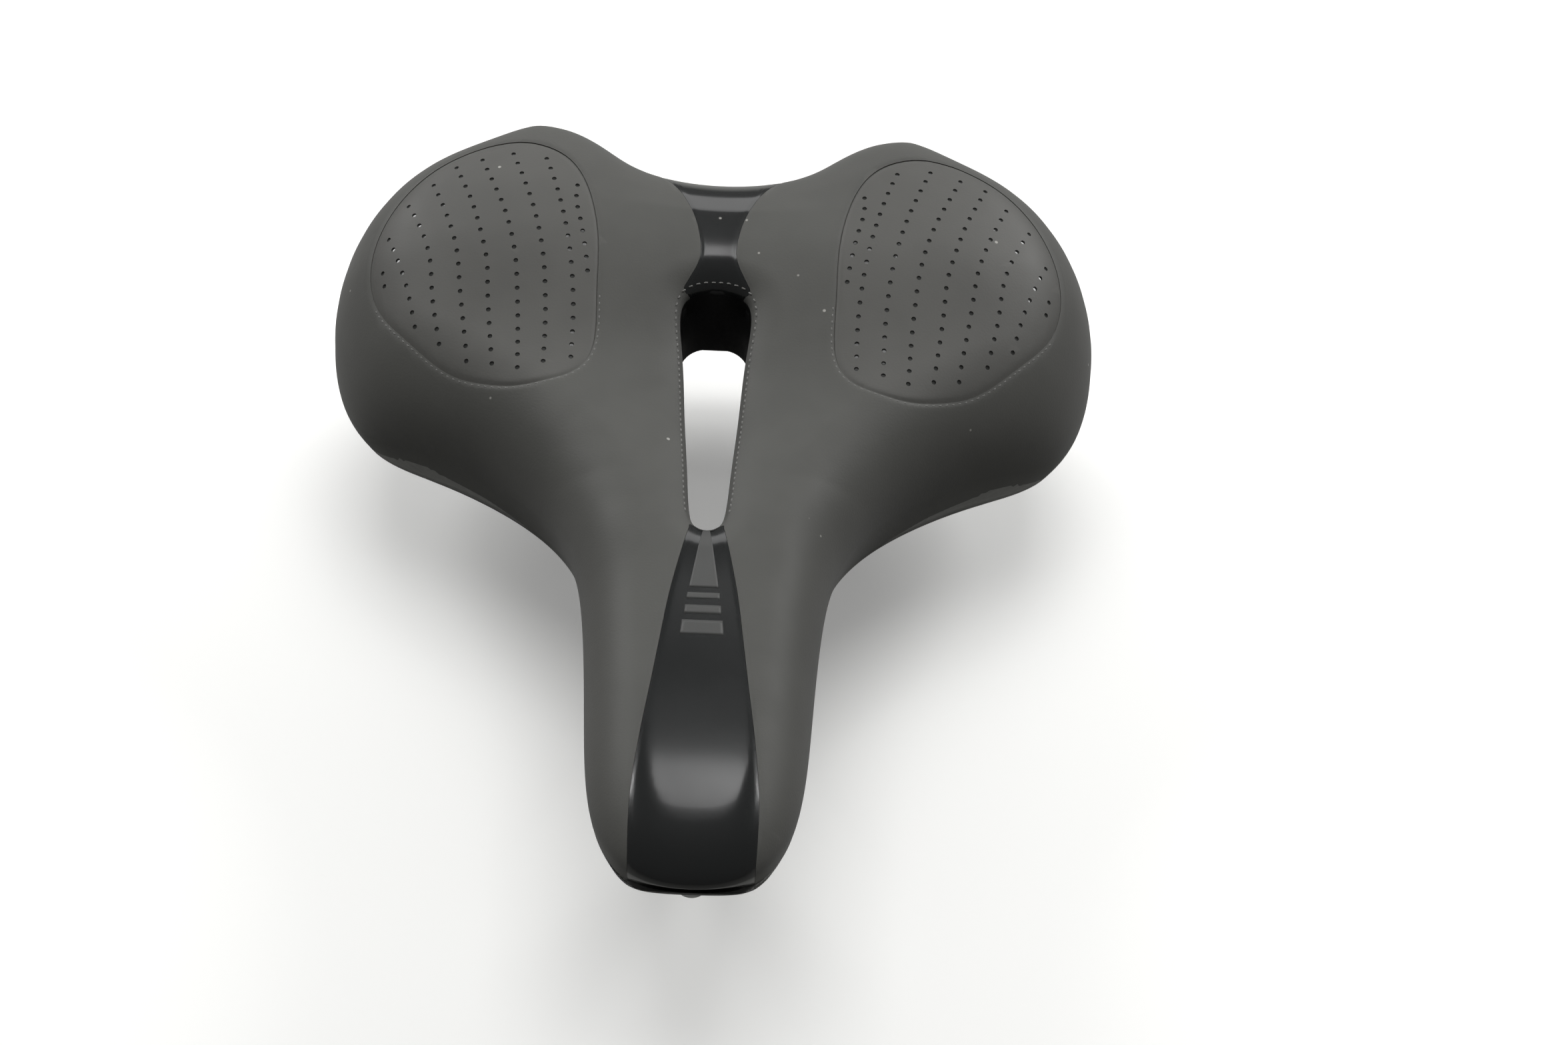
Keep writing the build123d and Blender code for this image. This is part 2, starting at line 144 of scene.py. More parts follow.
def newPiece(name, verts, faces, material, smooth=True, scale=mm):
    mesh = bpy.data.meshes.new(name)
    mesh.from_pydata([tuple(v) for v in np.asarray(verts, float) * scale], [], faces)
    mesh.validate()
    mesh.polygons.foreach_set("use_smooth", [smooth] * len(mesh.polygons))
    piece = bpy.data.objects.new(name, mesh)
    bpy.context.scene.collection.objects.link(piece)
    mesh.materials.append(material)
    return piece


# node groups shared by the materials
def newGroup(name, inputs, outputs):
    group = bpy.data.node_groups.new(name, "ShaderNodeTree")
    for label, kind, value in inputs:
        socket = group.interface.new_socket(label, in_out="INPUT", socket_type=kind)
        socket.default_value = value
    for label, kind in outputs:
        group.interface.new_socket(label, in_out="OUTPUT", socket_type=kind)
    return group, group.nodes.new("NodeGroupInput"), group.nodes.new("NodeGroupOutput")


def addNode(tree, kind, **values):
    node = tree.nodes.new(kind)
    for key, value in values.items():
        if key in node.inputs:
            node.inputs[key].default_value = value
        else:
            setattr(node, key, value)
    return node


def mathNode(tree, operation, a, b=None, clamp=False):
    node = tree.nodes.new("ShaderNodeMath")
    node.operation = operation
    node.use_clamp = clamp
    for slot, value in enumerate((a, b)):
        if value is None:
            continue
        if isinstance(value, (int, float)):
            node.inputs[slot].default_value = value
        else:
            tree.links.new(value, node.inputs[slot])
    return node.outputs[0]


def rampNode(tree, value, low, high):
    node = tree.nodes.new("ShaderNodeMapRange")
    node.interpolation_type = "SMOOTHSTEP"
    tree.links.new(value, node.inputs["Value"])
    node.inputs["From Min"].default_value = low
    node.inputs["From Max"].default_value = high
    return node.outputs["Result"]


def makeGrain():  # fine pores and creases of a coated cloth: height, and a slow change of tone
    group, inn, out = newGroup(
        "coverGrain",
        [("Pore Size", "NodeSocketFloat", 1600.0), ("Tone Size", "NodeSocketFloat", 30.0)],
        [("Height", "NodeSocketFloat"), ("Tone", "NodeSocketFloat")],
    )
    place = addNode(group, "ShaderNodeTexCoord")
    pores = addNode(group, "ShaderNodeTexVoronoi", feature="SMOOTH_F1")
    fine = addNode(group, "ShaderNodeTexNoise", Detail=4.0, Roughness=0.6)
    slow = addNode(group, "ShaderNodeTexNoise", Detail=3.0, Roughness=0.55)
    for node in (pores, fine, slow):
        group.links.new(place.outputs["Object"], node.inputs["Vector"])
    group.links.new(inn.outputs["Pore Size"], pores.inputs["Scale"])
    group.links.new(inn.outputs["Pore Size"], fine.inputs["Scale"])
    group.links.new(inn.outputs["Tone Size"], slow.inputs["Scale"])
    height = mathNode(group, "ADD", mathNode(group, "MULTIPLY", pores.outputs["Distance"], 0.6),
                      mathNode(group, "MULTIPLY", fine.outputs["Fac"], 0.5))
    group.links.new(height, out.inputs["Height"])
    group.links.new(rampNode(group, slow.outputs["Fac"], 0.3, 0.7), out.inputs["Tone"])
    return group


def makeDust():  # scattered specks and hairline scratches
    group, inn, out = newGroup(
        "dustAndScratches",
        [("Speck Size", "NodeSocketFloat", 260.0), ("Amount", "NodeSocketFloat", 0.03)],
        [("Specks", "NodeSocketFloat"), ("Scratches", "NodeSocketFloat")],
    )
    place = addNode(group, "ShaderNodeTexCoord")
    cells = addNode(group, "ShaderNodeTexVoronoi")
    group.links.new(place.outputs["Object"], cells.inputs["Vector"])
    group.links.new(inn.outputs["Speck Size"], cells.inputs["Scale"])
    near = rampNode(group, cells.outputs["Distance"], 0.16, 0.08)
    pick = addNode(group, "ShaderNodeSeparateColor")
    group.links.new(cells.outputs["Color"], pick.inputs[0])
    few = mathNode(group, "LESS_THAN", pick.outputs[0], inn.outputs["Amount"])
    group.links.new(mathNode(group, "MULTIPLY", near, few), out.inputs["Specks"])
    turned = addNode(group, "ShaderNodeMapping")
    turned.inputs["Rotation"].default_value = (0.0, 0.0, 0.5)
    turned.inputs["Scale"].default_value = (14.0, 240.0, 60.0)
    group.links.new(place.outputs["Object"], turned.inputs["Vector"])
    lines = addNode(group, "ShaderNodeTexNoise", Scale=1.0, Detail=2.0)
    group.links.new(turned.outputs[0], lines.inputs["Vector"])
    patch = addNode(group, "ShaderNodeTexNoise", Scale=18.0, Detail=1.0)
    group.links.new(place.outputs["Object"], patch.inputs["Vector"])
    hair = rampNode(group, lines.outputs["Fac"], 0.70, 0.76)
    group.links.new(mathNode(group, "MULTIPLY", hair, rampNode(group, patch.outputs["Fac"], 0.5, 0.65)),
                    out.inputs["Scratches"])
    return group


def makeWear():  # rubbed edges, from how sharply the surface turns
    group, inn, out = newGroup(
        "rubbedEdges",
        [("Start", "NodeSocketFloat", 0.53), ("End", "NodeSocketFloat", 0.60)],
        [("Mask", "NodeSocketFloat")],
    )
    turn = addNode(group, "ShaderNodeNewGeometry")
    place = addNode(group, "ShaderNodeTexCoord")
    broken = addNode(group, "ShaderNodeTexNoise", Scale=180.0, Detail=4.0)
    group.links.new(place.outputs["Object"], broken.inputs["Vector"])
    uneven = mathNode(group, "SUBTRACT", broken.outputs["Fac"], 0.5)
    shifted = mathNode(group, "ADD", turn.outputs["Pointiness"], mathNode(group, "MULTIPLY", uneven, 0.06))
    node = group.nodes.new("ShaderNodeMapRange")
    group.links.new(shifted, node.inputs["Value"])
    group.links.new(inn.outputs["Start"], node.inputs["From Min"])
    group.links.new(inn.outputs["End"], node.inputs["From Max"])
    group.links.new(node.outputs["Result"], out.inputs["Mask"])
    return group


grainGroup, dustGroup, wearGroup = makeGrain(), makeDust(), makeWear()


def makeMaterial(name, look):
    # one material: tone change, grain, specks, scratches and rubbed edges over a base colour
    material = bpy.data.materials.new(name)
    material.use_nodes = True
    tree = material.node_tree
    shader = tree.nodes["Principled BSDF"]
    grain = addNode(tree, "ShaderNodeGroup", node_tree=grainGroup)
    grain.inputs["Pore Size"].default_value = look["poreSize"]
    dust = addNode(tree, "ShaderNodeGroup", node_tree=dustGroup)
    dust.inputs["Amount"].default_value = look["dust"]
    wear = addNode(tree, "ShaderNodeGroup", node_tree=wearGroup)
    base = look["colour"]
    other = look.get("tone", [c * 0.88 for c in base])
    worn = look.get("worn", [c * 1.6 + 0.02 for c in base])
    scratched = [c * 1.5 + 0.03 for c in base]
    layers = (
        (grain.outputs["Tone"], other),
        (mathNode(tree, "MULTIPLY", wear.outputs["Mask"], look["wear"]), worn),
        (mathNode(tree, "MULTIPLY", dust.outputs["Scratches"], look["scratches"]), scratched),
        (mathNode(tree, "MULTIPLY", dust.outputs["Specks"], 0.75), (0.42, 0.41, 0.38)),
    )
    colour = None
    for mask, shade in layers:
        mix = addNode(tree, "ShaderNodeMix", data_type="RGBA")
        tree.links.new(mask, mix.inputs["Factor"])
        if colour is None:
            mix.inputs[6].default_value = (*base, 1)
        else:
            tree.links.new(colour, mix.inputs[6])
        mix.inputs[7].default_value = (*shade, 1)
        colour = mix.outputs[2]
    tree.links.new(colour, shader.inputs["Base Color"])
    rough = mathNode(tree, "MULTIPLY", grain.outputs["Tone"], look["roughChange"])
    rough = mathNode(tree, "ADD", rough, look["roughness"])
    rough = mathNode(tree, "ADD", rough, mathNode(tree, "MULTIPLY", dust.outputs["Scratches"], 0.15))
    tree.links.new(rough, shader.inputs["Roughness"])
    bump = addNode(tree, "ShaderNodeBump", Strength=look["bump"], Distance=look["bumpDepth"])
    tree.links.new(grain.outputs["Height"], bump.inputs["Height"])
    tree.links.new(bump.outputs["Normal"], shader.inputs["Normal"])
    shader.inputs["Metallic"].default_value = look.get("metallic", 0.0)
    shader.inputs["Specular IOR Level"].default_value = look.get("specular", 0.5)
    shader.inputs["Coat Weight"].default_value = look.get("coat", 0.0)
    shader.inputs["Coat Roughness"].default_value = look.get("coatRoughness", 0.05)
    shader.inputs["Sheen Weight"].default_value = look.get("sheen", 0.0)
    shader.inputs["Sheen Roughness"].default_value = 0.5
    return material


looks = {
    "mattCover": dict(colour=[0.068, 0.068, 0.062], roughness=0.58, roughChange=0.06, poreSize=1700.0,
                      bump=0.25, bumpDepth=0.00012, dust=0.012, scratches=0.25, wear=0.15, sheen=0.12),
    "insertCover": dict(colour=[0.078, 0.077, 0.071], roughness=0.54, roughChange=0.06, poreSize=1700.0,
                        bump=0.22, bumpDepth=0.00012, dust=0.012, scratches=0.2, wear=0.15, sheen=0.10),
    "glossCover": dict(colour=[0.011, 0.012, 0.012], roughness=0.20, roughChange=0.07, poreSize=900.0,
                       bump=0.08, bumpDepth=0.0001, dust=0.02, scratches=0.35, wear=0.1, coat=0.6,
                       coatRoughness=0.12),
    "dimpleGloss": dict(colour=[0.036, 0.037, 0.035], roughness=0.22, roughChange=0.03, poreSize=1500.0,
                        bump=0.03, bumpDepth=0.0001, dust=0.0, scratches=0.0, wear=0.0, coat=0.5),
    "mattPrint": dict(colour=[0.062, 0.063, 0.061], roughness=0.5, roughChange=0.05, poreSize=1800.0,
                      bump=0.15, bumpDepth=0.0001, dust=0.01, scratches=0.1, wear=0.0),
    "liningCloth": dict(colour=[0.010, 0.010, 0.010], roughness=0.38, roughChange=0.1, poreSize=1400.0,
                        bump=0.4, bumpDepth=0.0001, dust=0.01, scratches=0.1, wear=0.1),
    "thread": dict(colour=[0.115, 0.114, 0.108], roughness=0.6, roughChange=0.1, poreSize=5000.0,
                   bump=0.6, bumpDepth=0.0001, dust=0.0, scratches=0.0, wear=0.3, sheen=0.3),
    "mouldedBase": dict(colour=[0.012, 0.012, 0.013], roughness=0.48, roughChange=0.1, poreSize=2400.0,
                        bump=0.5, bumpDepth=0.0001, dust=0.03, scratches=0.3, wear=0.4),
    "blackPowder": dict(colour=[0.018, 0.018, 0.019], roughness=0.36, roughChange=0.08, poreSize=1300.0,
                        bump=0.45, bumpDepth=0.00012, dust=0.02, scratches=0.3, wear=0.6, coat=0.2,
                        worn=[0.20, 0.20, 0.21]),
    "zincSteel": dict(colour=[0.58, 0.58, 0.57], roughness=0.30, roughChange=0.12, poreSize=900.0,
                      bump=0.15, bumpDepth=0.0001, dust=0.02, scratches=0.4, wear=0.4, metallic=1.0,
                      tone=[0.48, 0.49, 0.50], worn=[0.72, 0.72, 0.72]),
    "elastomerRubber": dict(colour=[0.026, 0.026, 0.027], roughness=0.66, roughChange=0.12, poreSize=700.0,
                            bump=0.5, bumpDepth=0.0002, dust=0.04, scratches=0.2, wear=0.3, sheen=0.1),
    "foamSkin": dict(colour=[0.30, 0.30, 0.29], roughness=0.85, roughChange=0.08, poreSize=500.0,
                     bump=0.8, bumpDepth=0.0004, dust=0.0, scratches=0.0, wear=0.1, sheen=0.2),
    "gelBlue": dict(colour=[0.16, 0.32, 0.46], roughness=0.28, roughChange=0.08, poreSize=300.0,
                    bump=0.2, bumpDepth=0.0002, dust=0.0, scratches=0.0, wear=0.0, coat=0.3),
}
materials = {name: makeMaterial(name, look) for name, look in looks.items()}
print("materials made")

# the seat's shape
seat = dict(
    halfOutline=[(0, -156), (13, -153), (21, -144), (26, -130), (29, -103), (31.5, -73), (37, -47),
                 (51, -25), (77, -4.5), (102.5, 12), (113.5, 40.5), (109.5, 68.5), (93, 90), (74, 101.5),
                 (60, 109), (45, 107), (31, 98.5), (21, 92.5), (0, 92)],
    ridge=[(-158, 87), (-98, 81.5), (-38, 83.5), (12, 85), (52, 96), (87, 97.5), (114, 92.5)],
    skirt=[(-160, 76), (-150, 62), (-134, 52), (-40, 47), (12, 36), (45, 36), (85, 47), (125, 58)],
    noseRidge=10, wingRidge=48, noseEdge=30, wingEdge=104, noseDroop=3.5, wingDroop=(14, 10),
    channel=4, valley=12,
    shoulders=(13.5, 26, 23),      # nose, wings, rear lobes
    shoulderSpan=24,
    noseFall=(8, -96),             # the nose curves down by this much, starting here
    rimDip=2.6, rimDipWidth=9,     # the padding falls towards the cut-out
    rimRoll=1.7,
    coverThick=1.2,
    tuck=3.0,                      # the skirt pulls in towards its hem
    around=520,                    # points in each ring
    hemRings=((10, -1.2), (7, -1.2), (5, -1.2), (4.0, -1.1), (3.3, -0.6)),     # inset and lift
    skirtRings=(0.03, 0.12, 0.25, 0.4, 0.55, 0.7, 0.85, 0.95),                 # share of the skirt
    edgeAngles=(0, 12, 20, 28, 36, 44, 52, 60, 68, 76, 84, 90),                # across the shoulder
    topRings=44,
    liningDepths=(0.6, 1.5, 3, 4.5, 6, 6.6),
)
opening = dict(rear=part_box("opening_lining")[1].y / mm - 1.2, front=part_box("opening_lining")[0].y / mm + 1.2,
               rearHalf=10.5, frontHalf=4.4)
insertOutline = [(34, 30), (34, 14), (37.5, 5.5), (44, 1), (53, -1), (62, 0.8), (74, 6.5), (86, 17),
                 (96, 28.5), (100.5, 41), (99.5, 54), (94, 66), (84, 77), (70, 84), (56, 84), (44, 76),
                 (37, 60), (34.5, 45)]
nosePanel = [(-160, 15), (-132, 15.5), (-117, 14.1), (-102, 12.3), (-88, 10.7), (-74, 9), (-50, 4.6)]
rearPanel = [(36, 9.5), (44, 5.5), (54, 6), (66, 10), (80, 17), (94, 22), (112, 26)]


def crown(x, y):
    across = np.abs(x)
    wing = ease(-68, 2, y)
    rear = np.clip((y - 2) / 90, 0, 1)
    ridgeX = seat["noseRidge"] * (1 - wing) + seat["wingRidge"] * wing
    edgeX = seat["noseEdge"] * (1 - wing) + seat["wingEdge"] * wing
    wingDroop = seat["wingDroop"][0] * (1 - rear) + seat["wingDroop"][1] * rear
    droop = seat["noseDroop"] * (1 - wing) + wingDroop * wing
    outward = np.clip((across - ridgeX) / (edgeX - ridgeX), 0, 1.2)
    low = np.clip((y - 62) / 40, 0, 1)
    dip = wing * (seat["channel"] * (1 - low) + seat["valley"] * low)
    return smoothRamp(seat["ridge"], y) - droop * outward**2 - dip * ease(0, 1, (ridgeX - across) / ridgeX)


def mirrored(half):
    return half + [(-x, y) for x, y in reversed(half[1:-1])]


outlineRing = closedCurve(mirrored(seat["halfOutline"]), 900)
fit = (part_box("cover_right")[1].x / mm) / outlineRing[:, 0].max()   # follow the CAD width
outlineRing[:, 0] *= fit


def openingHalf():
    r, f = opening["rear"], opening["front"]
    a, b = opening["rearHalf"], opening["frontHalf"]
    c = 0.75 * a
    points = [(0, f), (b * 0.62, f + b * 0.25), (b, f + b)]
    points += [(b + (a - b) * t, f + (r - f) * t) for t in (0.25, 0.5, 0.75)]
    points += [(a - 0.3, r - c), (a - c * 0.3, r - c * 0.3), (a - c, r - 0.1), (0, r)]
    return points


openingRing = closedCurve(mirrored(openingHalf()), 700)


def seatTop(x, y):  # height of the finished cover
    z = crown(x, y)
    edge = distanceTo(outlineRing, x, y)
    front, rear = ease(-68, -8, y), ease(52, 102, y)
    s = seat["shoulders"]
    drop = s[0] * (1 - front) + s[1] * front * (1 - rear) + s[2] * rear
    fall = seat["noseFall"][0] * np.clip((seat["noseFall"][1] - y) / (156 + seat["noseFall"][1]), 0, 1) ** 2
    z, drop = z - fall, drop - fall
    span = np.minimum((drop + fall) * 1.1, seat["shoulderSpan"])
    t = np.clip(1 - edge / span, 0, 1)
    z = z - drop * (1 - np.sqrt(np.clip(1 - t**2, 0, 1)))
    rim = distanceTo(openingRing, x, y)
    z = z - seat["rimDip"] * np.clip(1 - rim / seat["rimDipWidth"], 0, 1) ** 2
    roll = np.clip(1 - rim / seat["rimRoll"], 0, 1)
    return z - seat["rimRoll"] * (1 - np.sqrt(np.clip(1 - roll**2, 0, 1)))


def seatRings():  # rings of points from the hem, up the skirt, over the top and down into the cut-out
    count = seat["around"]
    half = [(0, -156), (29, -103), (37, -47), (51, -25), (77, -4.5), (113.5, 40.5), (93, 90), (60, 109),
            (31, 98.5), (0, 92)]
    shares = [0, 0.085, 0.14, 0.17, 0.205, 0.29, 0.36, 0.405, 0.45, 0.5]
    r, f = opening["rear"], opening["front"]
    rimHalf = [(0, f), (3.2, f + 1.4), (4.6, f + 5), (5.2, f + 11), (6.4, f + 30), (8.6, f + 56),
               (10.1, f + 74), (9.2, r - 3), (6, r - 0.6), (0, r)]
    full = [(s, p) for s, p in zip(shares, half)] + [(1 - s, (-p[0], p[1])) for s, p in
                                                      zip(shares[-2::-1], half[-2::-1])]
    rimFull = [(s, p) for s, p in zip(shares, rimHalf)] + [(1 - s, (-p[0], p[1])) for s, p in
                                                           zip(shares[-2::-1], rimHalf[-2::-1])]
    steps = [s for s, p in full]
    outer = closedCurve(mirrored(seat["halfOutline"]), count, (steps, [np.array(p) for s, p in full]))
    outer[:, 0] *= fit
    inner = closedCurve(mirrored(openingHalf()), count, (steps, [np.array(p) for s, p in rimFull]))
    along = np.roll(outer, -1, 0) - np.roll(outer, 1, 0)
    along /= np.linalg.norm(along, axis=1)[:, None]
    inward = np.stack([-along[:, 1], along[:, 0]], 1)
    low = smoothRamp(seat["skirt"], outer[:, 1])
    rings, kinds = [], []
    for inset, lift in seat["hemRings"]:
        q = outer + inward * inset
        z = smoothRamp(seat["skirt"], q[:, 1]) + lift * (1 - 0.7 * ease(-130, -150, q[:, 1]))
        rings.append(np.c_[q, z])
        kinds.append("hem")
    top = seatTop(outer[:, 0], outer[:, 1])
    for share in seat["skirtRings"]:
        inset = seat["tuck"] * (1 - share) ** 1.6
        rings.append(np.c_[outer + inward * inset, low + (top - low) * share])
        kinds.append("skirt")
    line = inner - outer
    length = np.linalg.norm(line, axis=1)
    near = [seat["shoulderSpan"] * (1 - math.cos(math.radians(a))) for a in seat["edgeAngles"]]
    steps = list(np.array(near)[:, None] / np.maximum(length, 60)[None, :])
    last = steps[-1]
    for k in range(1, seat["topRings"] + 1):
        t = k / seat["topRings"]
        steps.append(last + (1 - last) * (1 - (1 - t) ** 1.35))     # closer together at the rim
    for s in steps:
        q = outer + line * s[:, None]
        rings.append(np.c_[q, seatTop(q[:, 0], q[:, 1])])
        kinds.append("top")
    rimZ = rings[-1][:, 2]
    for depth in seat["liningDepths"]:
        rings.append(np.c_[inner, rimZ - depth])
        kinds.append("lining")
    return rings, kinds, outer, line


def skinMesh(rings):
    count = len(rings[0])
    verts = np.vstack(rings)
    faces = []
    for r in range(len(rings) - 1):
        for i in range(count):
            j = (i + 1) % count
            faces.append((r * count + i, r * count + j, (r + 1) * count + j, (r + 1) * count + i))
    return verts, faces


def splitAt(verts, faces, values, level):
    # cut every face that crosses a level of values, so an edge runs along it
    v = values - level
    v[np.abs(v) < 1e-6] = 1e-6
    verts, made, out = list(map(tuple, verts)), {}, []
    sign = v > 0
    for item in faces:
        face, tag = item
        s = [sign[i] for i in face]
        if all(s) or not any(s):
            out.append(item)
            continue
        parts = {True: [], False: []}
        n = len(face)
        for k in range(n):
            a, b = face[k], face[(k + 1) % n]
            parts[bool(sign[a])].append(a)
            if sign[a] != sign[b]:
                key = (min(a, b), max(a, b))
                if key not in made:
                    t = v[a] / (v[a] - v[b])
                    pa, pb = verts[a], verts[b]
                    made[key] = len(verts)
                    verts.append(tuple(pa[c] + (pb[c] - pa[c]) * t for c in range(3)))
                parts[True].append(made[key])
                parts[False].append(made[key])
        for part in parts.values():
            if len(part) >= 3:
                out.append((tuple(part), tag))
    return np.array(verts), out


rings, kinds, outerRing, crossing = seatRings()
verts, quads = skinMesh(rings)
tagged = [(f, kinds[f[0] // seat["around"]]) for f in quads]
print("seat skin", len(quads))
insertRing = {s: closedCurve([(x * s, y) for x, y in insertOutline], 400) for s in (-1, 1)}


def noseField(v):
    half = smoothRamp(nosePanel, v[:, 1])
    start = opening["front"] + 0.5 - v[:, 1]
    return np.where(start > 0, np.abs(v[:, 0]) - half, np.maximum(np.abs(v[:, 0]) - 4.6, -start))


def rearField(v):
    half = smoothRamp(rearPanel, v[:, 1])
    start = v[:, 1] - opening["rear"] + 2
    return np.where(start > 0, np.abs(v[:, 0]) - half, np.maximum(np.abs(v[:, 0]) - 9, -start))


def insertField(side):
    ring = insertRing[side]

    def field(v):
        far = distanceTo(ring, v[:, 0], v[:, 1])
        return np.where(insideRing(ring, v[:, 0], v[:, 1]), -far, far) + np.where(v[:, 2] < 55, 50, 0)
    return field


fields = {"nose": noseField, "rear": rearField, "insertLeft": insertField(-1), "insertRight": insertField(1)}
seam = dict(gap=0.04, levels=(-2.2, -1.1, -0.5, -0.04, 0.04, 0.5, 1.1, 2.2), sink=0.12, insertSink=0.4,
            width=0.75, insertRecess=0.3)
for name, field in fields.items():
    for level in seam["levels"]:
        verts, tagged = splitAt(verts, tagged, field(verts), level)
for name, field in fields.items():
    value = field(verts)
    sink = seam["insertSink"] if name.startswith("insert") else seam["sink"]
    groove = sink * np.exp(-(np.abs(value) / seam["width"]) ** 2)
    onTop = verts[:, 2] > 45
    verts[:, 2] -= np.where(onTop, groove, 0)
    if name.startswith("insert"):
        verts[:, 2] -= np.where(value < 0, seam["insertRecess"], 0)
print("seams cut", len(tagged))

values = {name: field(verts) for name, field in fields.items()}
groups = {"opening_lining": [], "nose_panel": [], "rear_panel": [], "insert_left": [], "insert_right": [],
          "cover_left": [], "cover_right": []}
for face, kind in tagged:
    ids = list(face)
    mid = {name: values[name][ids].mean() for name in values}
    if kind == "lining":
        groups["opening_lining"].append(face)
    elif min(abs(mid["insertLeft"]), abs(mid["insertRight"])) < seam["gap"]:
        continue
    elif mid["insertLeft"] < 0:
        groups["insert_left"].append(face)
    elif mid["insertRight"] < 0:
        groups["insert_right"].append(face)
    elif min(abs(mid["nose"]), abs(mid["rear"])) < seam["gap"]:
        continue
    elif mid["nose"] < 0:
        groups["nose_panel"].append(face)
    elif mid["rear"] < 0:
        groups["rear_panel"].append(face)
    else:
        groups["cover_left" if verts[ids, 0].mean() < 0 else "cover_right"].append(face)

coverLooks = {"opening_lining": "liningCloth", "nose_panel": "glossCover", "rear_panel": "glossCover",
              "insert_left": "insertCover", "insert_right": "insertCover", "cover_left": "mattCover",
              "cover_right": "mattCover"}
covers = {}
for node, members in groups.items():
    used = sorted({i for f in members for i in f})
    number = {old: new for new, old in enumerate(used)}
    piece = newPiece(node + "_skin", verts[used], [[number[i] for i in f] for f in members],
                     materials[coverLooks[node]])
    shell = piece.modifiers.new("thickness", "SOLIDIFY")
    shell.thickness = seat["coverThick"] * mm
    shell.offset = -1
    bpy.context.view_layer.objects.active = piece
    covers[node] = piece
print("covers made")

# perforations: rows of small dimples pressed into the inserts
holes = dict(pitch=4.25, radius=0.68, margin=2.7, columns=(     # each column runs through (y, x) points
    [(38, 95.7), (45, 98.3), (52, 100.5)],
    [(20, 84.9), (35.6, 89.5), (45, 93.3), (52.4, 96.5)],
    [(12.2, 77.1), (28.5, 80.8), (43, 83.2), (54.5, 87.6), (62, 91.3)],
    [(9.7, 69.4), (30, 73), (43.8, 75.3), (55.3, 79.1), (64, 82.6), (74, 87)],
    [(3, 61.5), (28.7, 65), (38.4, 66), (48.4, 68.6), (61, 72.7), (69, 76), (80, 80.5)],
    [(1, 54.4), (27, 56.4), (40, 58), (55, 62), (70, 68), (82, 73)],
    [(4, 47.5), (26, 48.4), (40, 50), (55, 53.5), (70, 58.5), (82, 63)],
    [(7.5, 40), (27, 40.6), (42, 42.5), (56, 45.5), (70, 49.5), (80, 53)],
    [(15, 35.4), (28, 36.2), (42, 38), (52, 40), (60, 42)],
))


def surfaceFrame(x, y):
    e = 0.4
    px, py = np.array([x, x + e, x]), np.array([y, y, y + e])
    z = seatTop(px, py)
    normal = Vector((-(z[1] - z[0]) / e, -(z[2] - z[0]) / e, 1)).normalized()
    return Vector((x, y, z[0])), normal


def dimpleCutter(side):
    spots = []
    for c, column in enumerate(holes["columns"]):
        for k in range(22):
            y = -2 + holes["pitch"] * (k + 0.5 * (c % 2))
            spots.append((float(smoothRamp(column, y)) * side, y))
    xs, ys = np.array([s[0] for s in spots]), np.array([s[1] for s in spots])
    ring = insertRing[side]
    keep = insideRing(ring, xs, ys) & (distanceTo(ring, xs, ys) > holes["margin"])
    cutVerts, cutFaces = [], []
    segments = 12
    profile = [(1.12, 0.25), (1.0, -0.05), (0.95, -0.32), (0.84, -0.42), (0.0, -0.44)]
    for x, y in zip(xs[keep], ys[keep]):
        spot, normal = surfaceFrame(x, y)
        spot.z -= seam["insertRecess"]
        across = normal.orthogonal().normalized()
        beside = normal.cross(across)
        first = len(cutVerts)
        for scale, lift in profile[:-1]:
            for s in range(segments):
                a = 2 * math.pi * s / segments
                r = holes["radius"] * scale
                turned = across * (r * math.cos(a)) + beside * (r * math.sin(a))
                cutVerts.append(spot + turned + normal * lift)
        cutVerts.append(spot + normal * profile[-1][1])
        tip = len(cutVerts) - 1
        cutFaces.append([first + s for s in range(segments)])
        for row in range(len(profile) - 2):
            for s in range(segments):
                a, b = first + row * segments + s, first + row * segments + (s + 1) % segments
                cutFaces.append([b, a, a + segments, b + segments])
        base = first + (len(profile) - 2) * segments
        for s in range(segments):
            cutFaces.append([base + (s + 1) % segments, base + s, tip])
    cutter = newPiece("dimple_cutter", cutVerts, cutFaces, materials["dimpleGloss"])
    print("dimples", int(keep.sum()))
    return cutter


def applyModifiers(piece):
    bpy.context.view_layer.update()
    graph = bpy.context.evaluated_depsgraph_get()
    mesh = bpy.data.meshes.new_from_object(piece.evaluated_get(graph))
    piece.modifiers.clear()
    piece.data = mesh


for side, node in ((-1, "insert_left"), (1, "insert_right")):
    cutter = dimpleCutter(side)
    piece = covers[node]
    piece.data.materials.append(materials["dimpleGloss"])
    cut = piece.modifiers.new("dimples", "BOOLEAN")
    cut.operation = "DIFFERENCE"
    cut.solver = "EXACT"
    cut.material_mode = "TRANSFER"
    cut.object = cutter
    applyModifiers(piece)
    piece.data.set_sharp_from_angle(angle=math.radians(28))
    bpy.data.objects.remove(cutter)
for piece in covers.values():
    if piece.modifiers:
        applyModifiers(piece)
        piece.data.set_sharp_from_angle(angle=math.radians(50))
for node, piece in covers.items():
    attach(piece, "seat")
    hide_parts(node)
print("inserts perforated")

# stitching round the cut-out and along the inserts
stitch = dict(length=1.4, radius=0.22, pitch=2.05, rimOffset=1.3, insertOffset=0.75, insertSink=0.28)


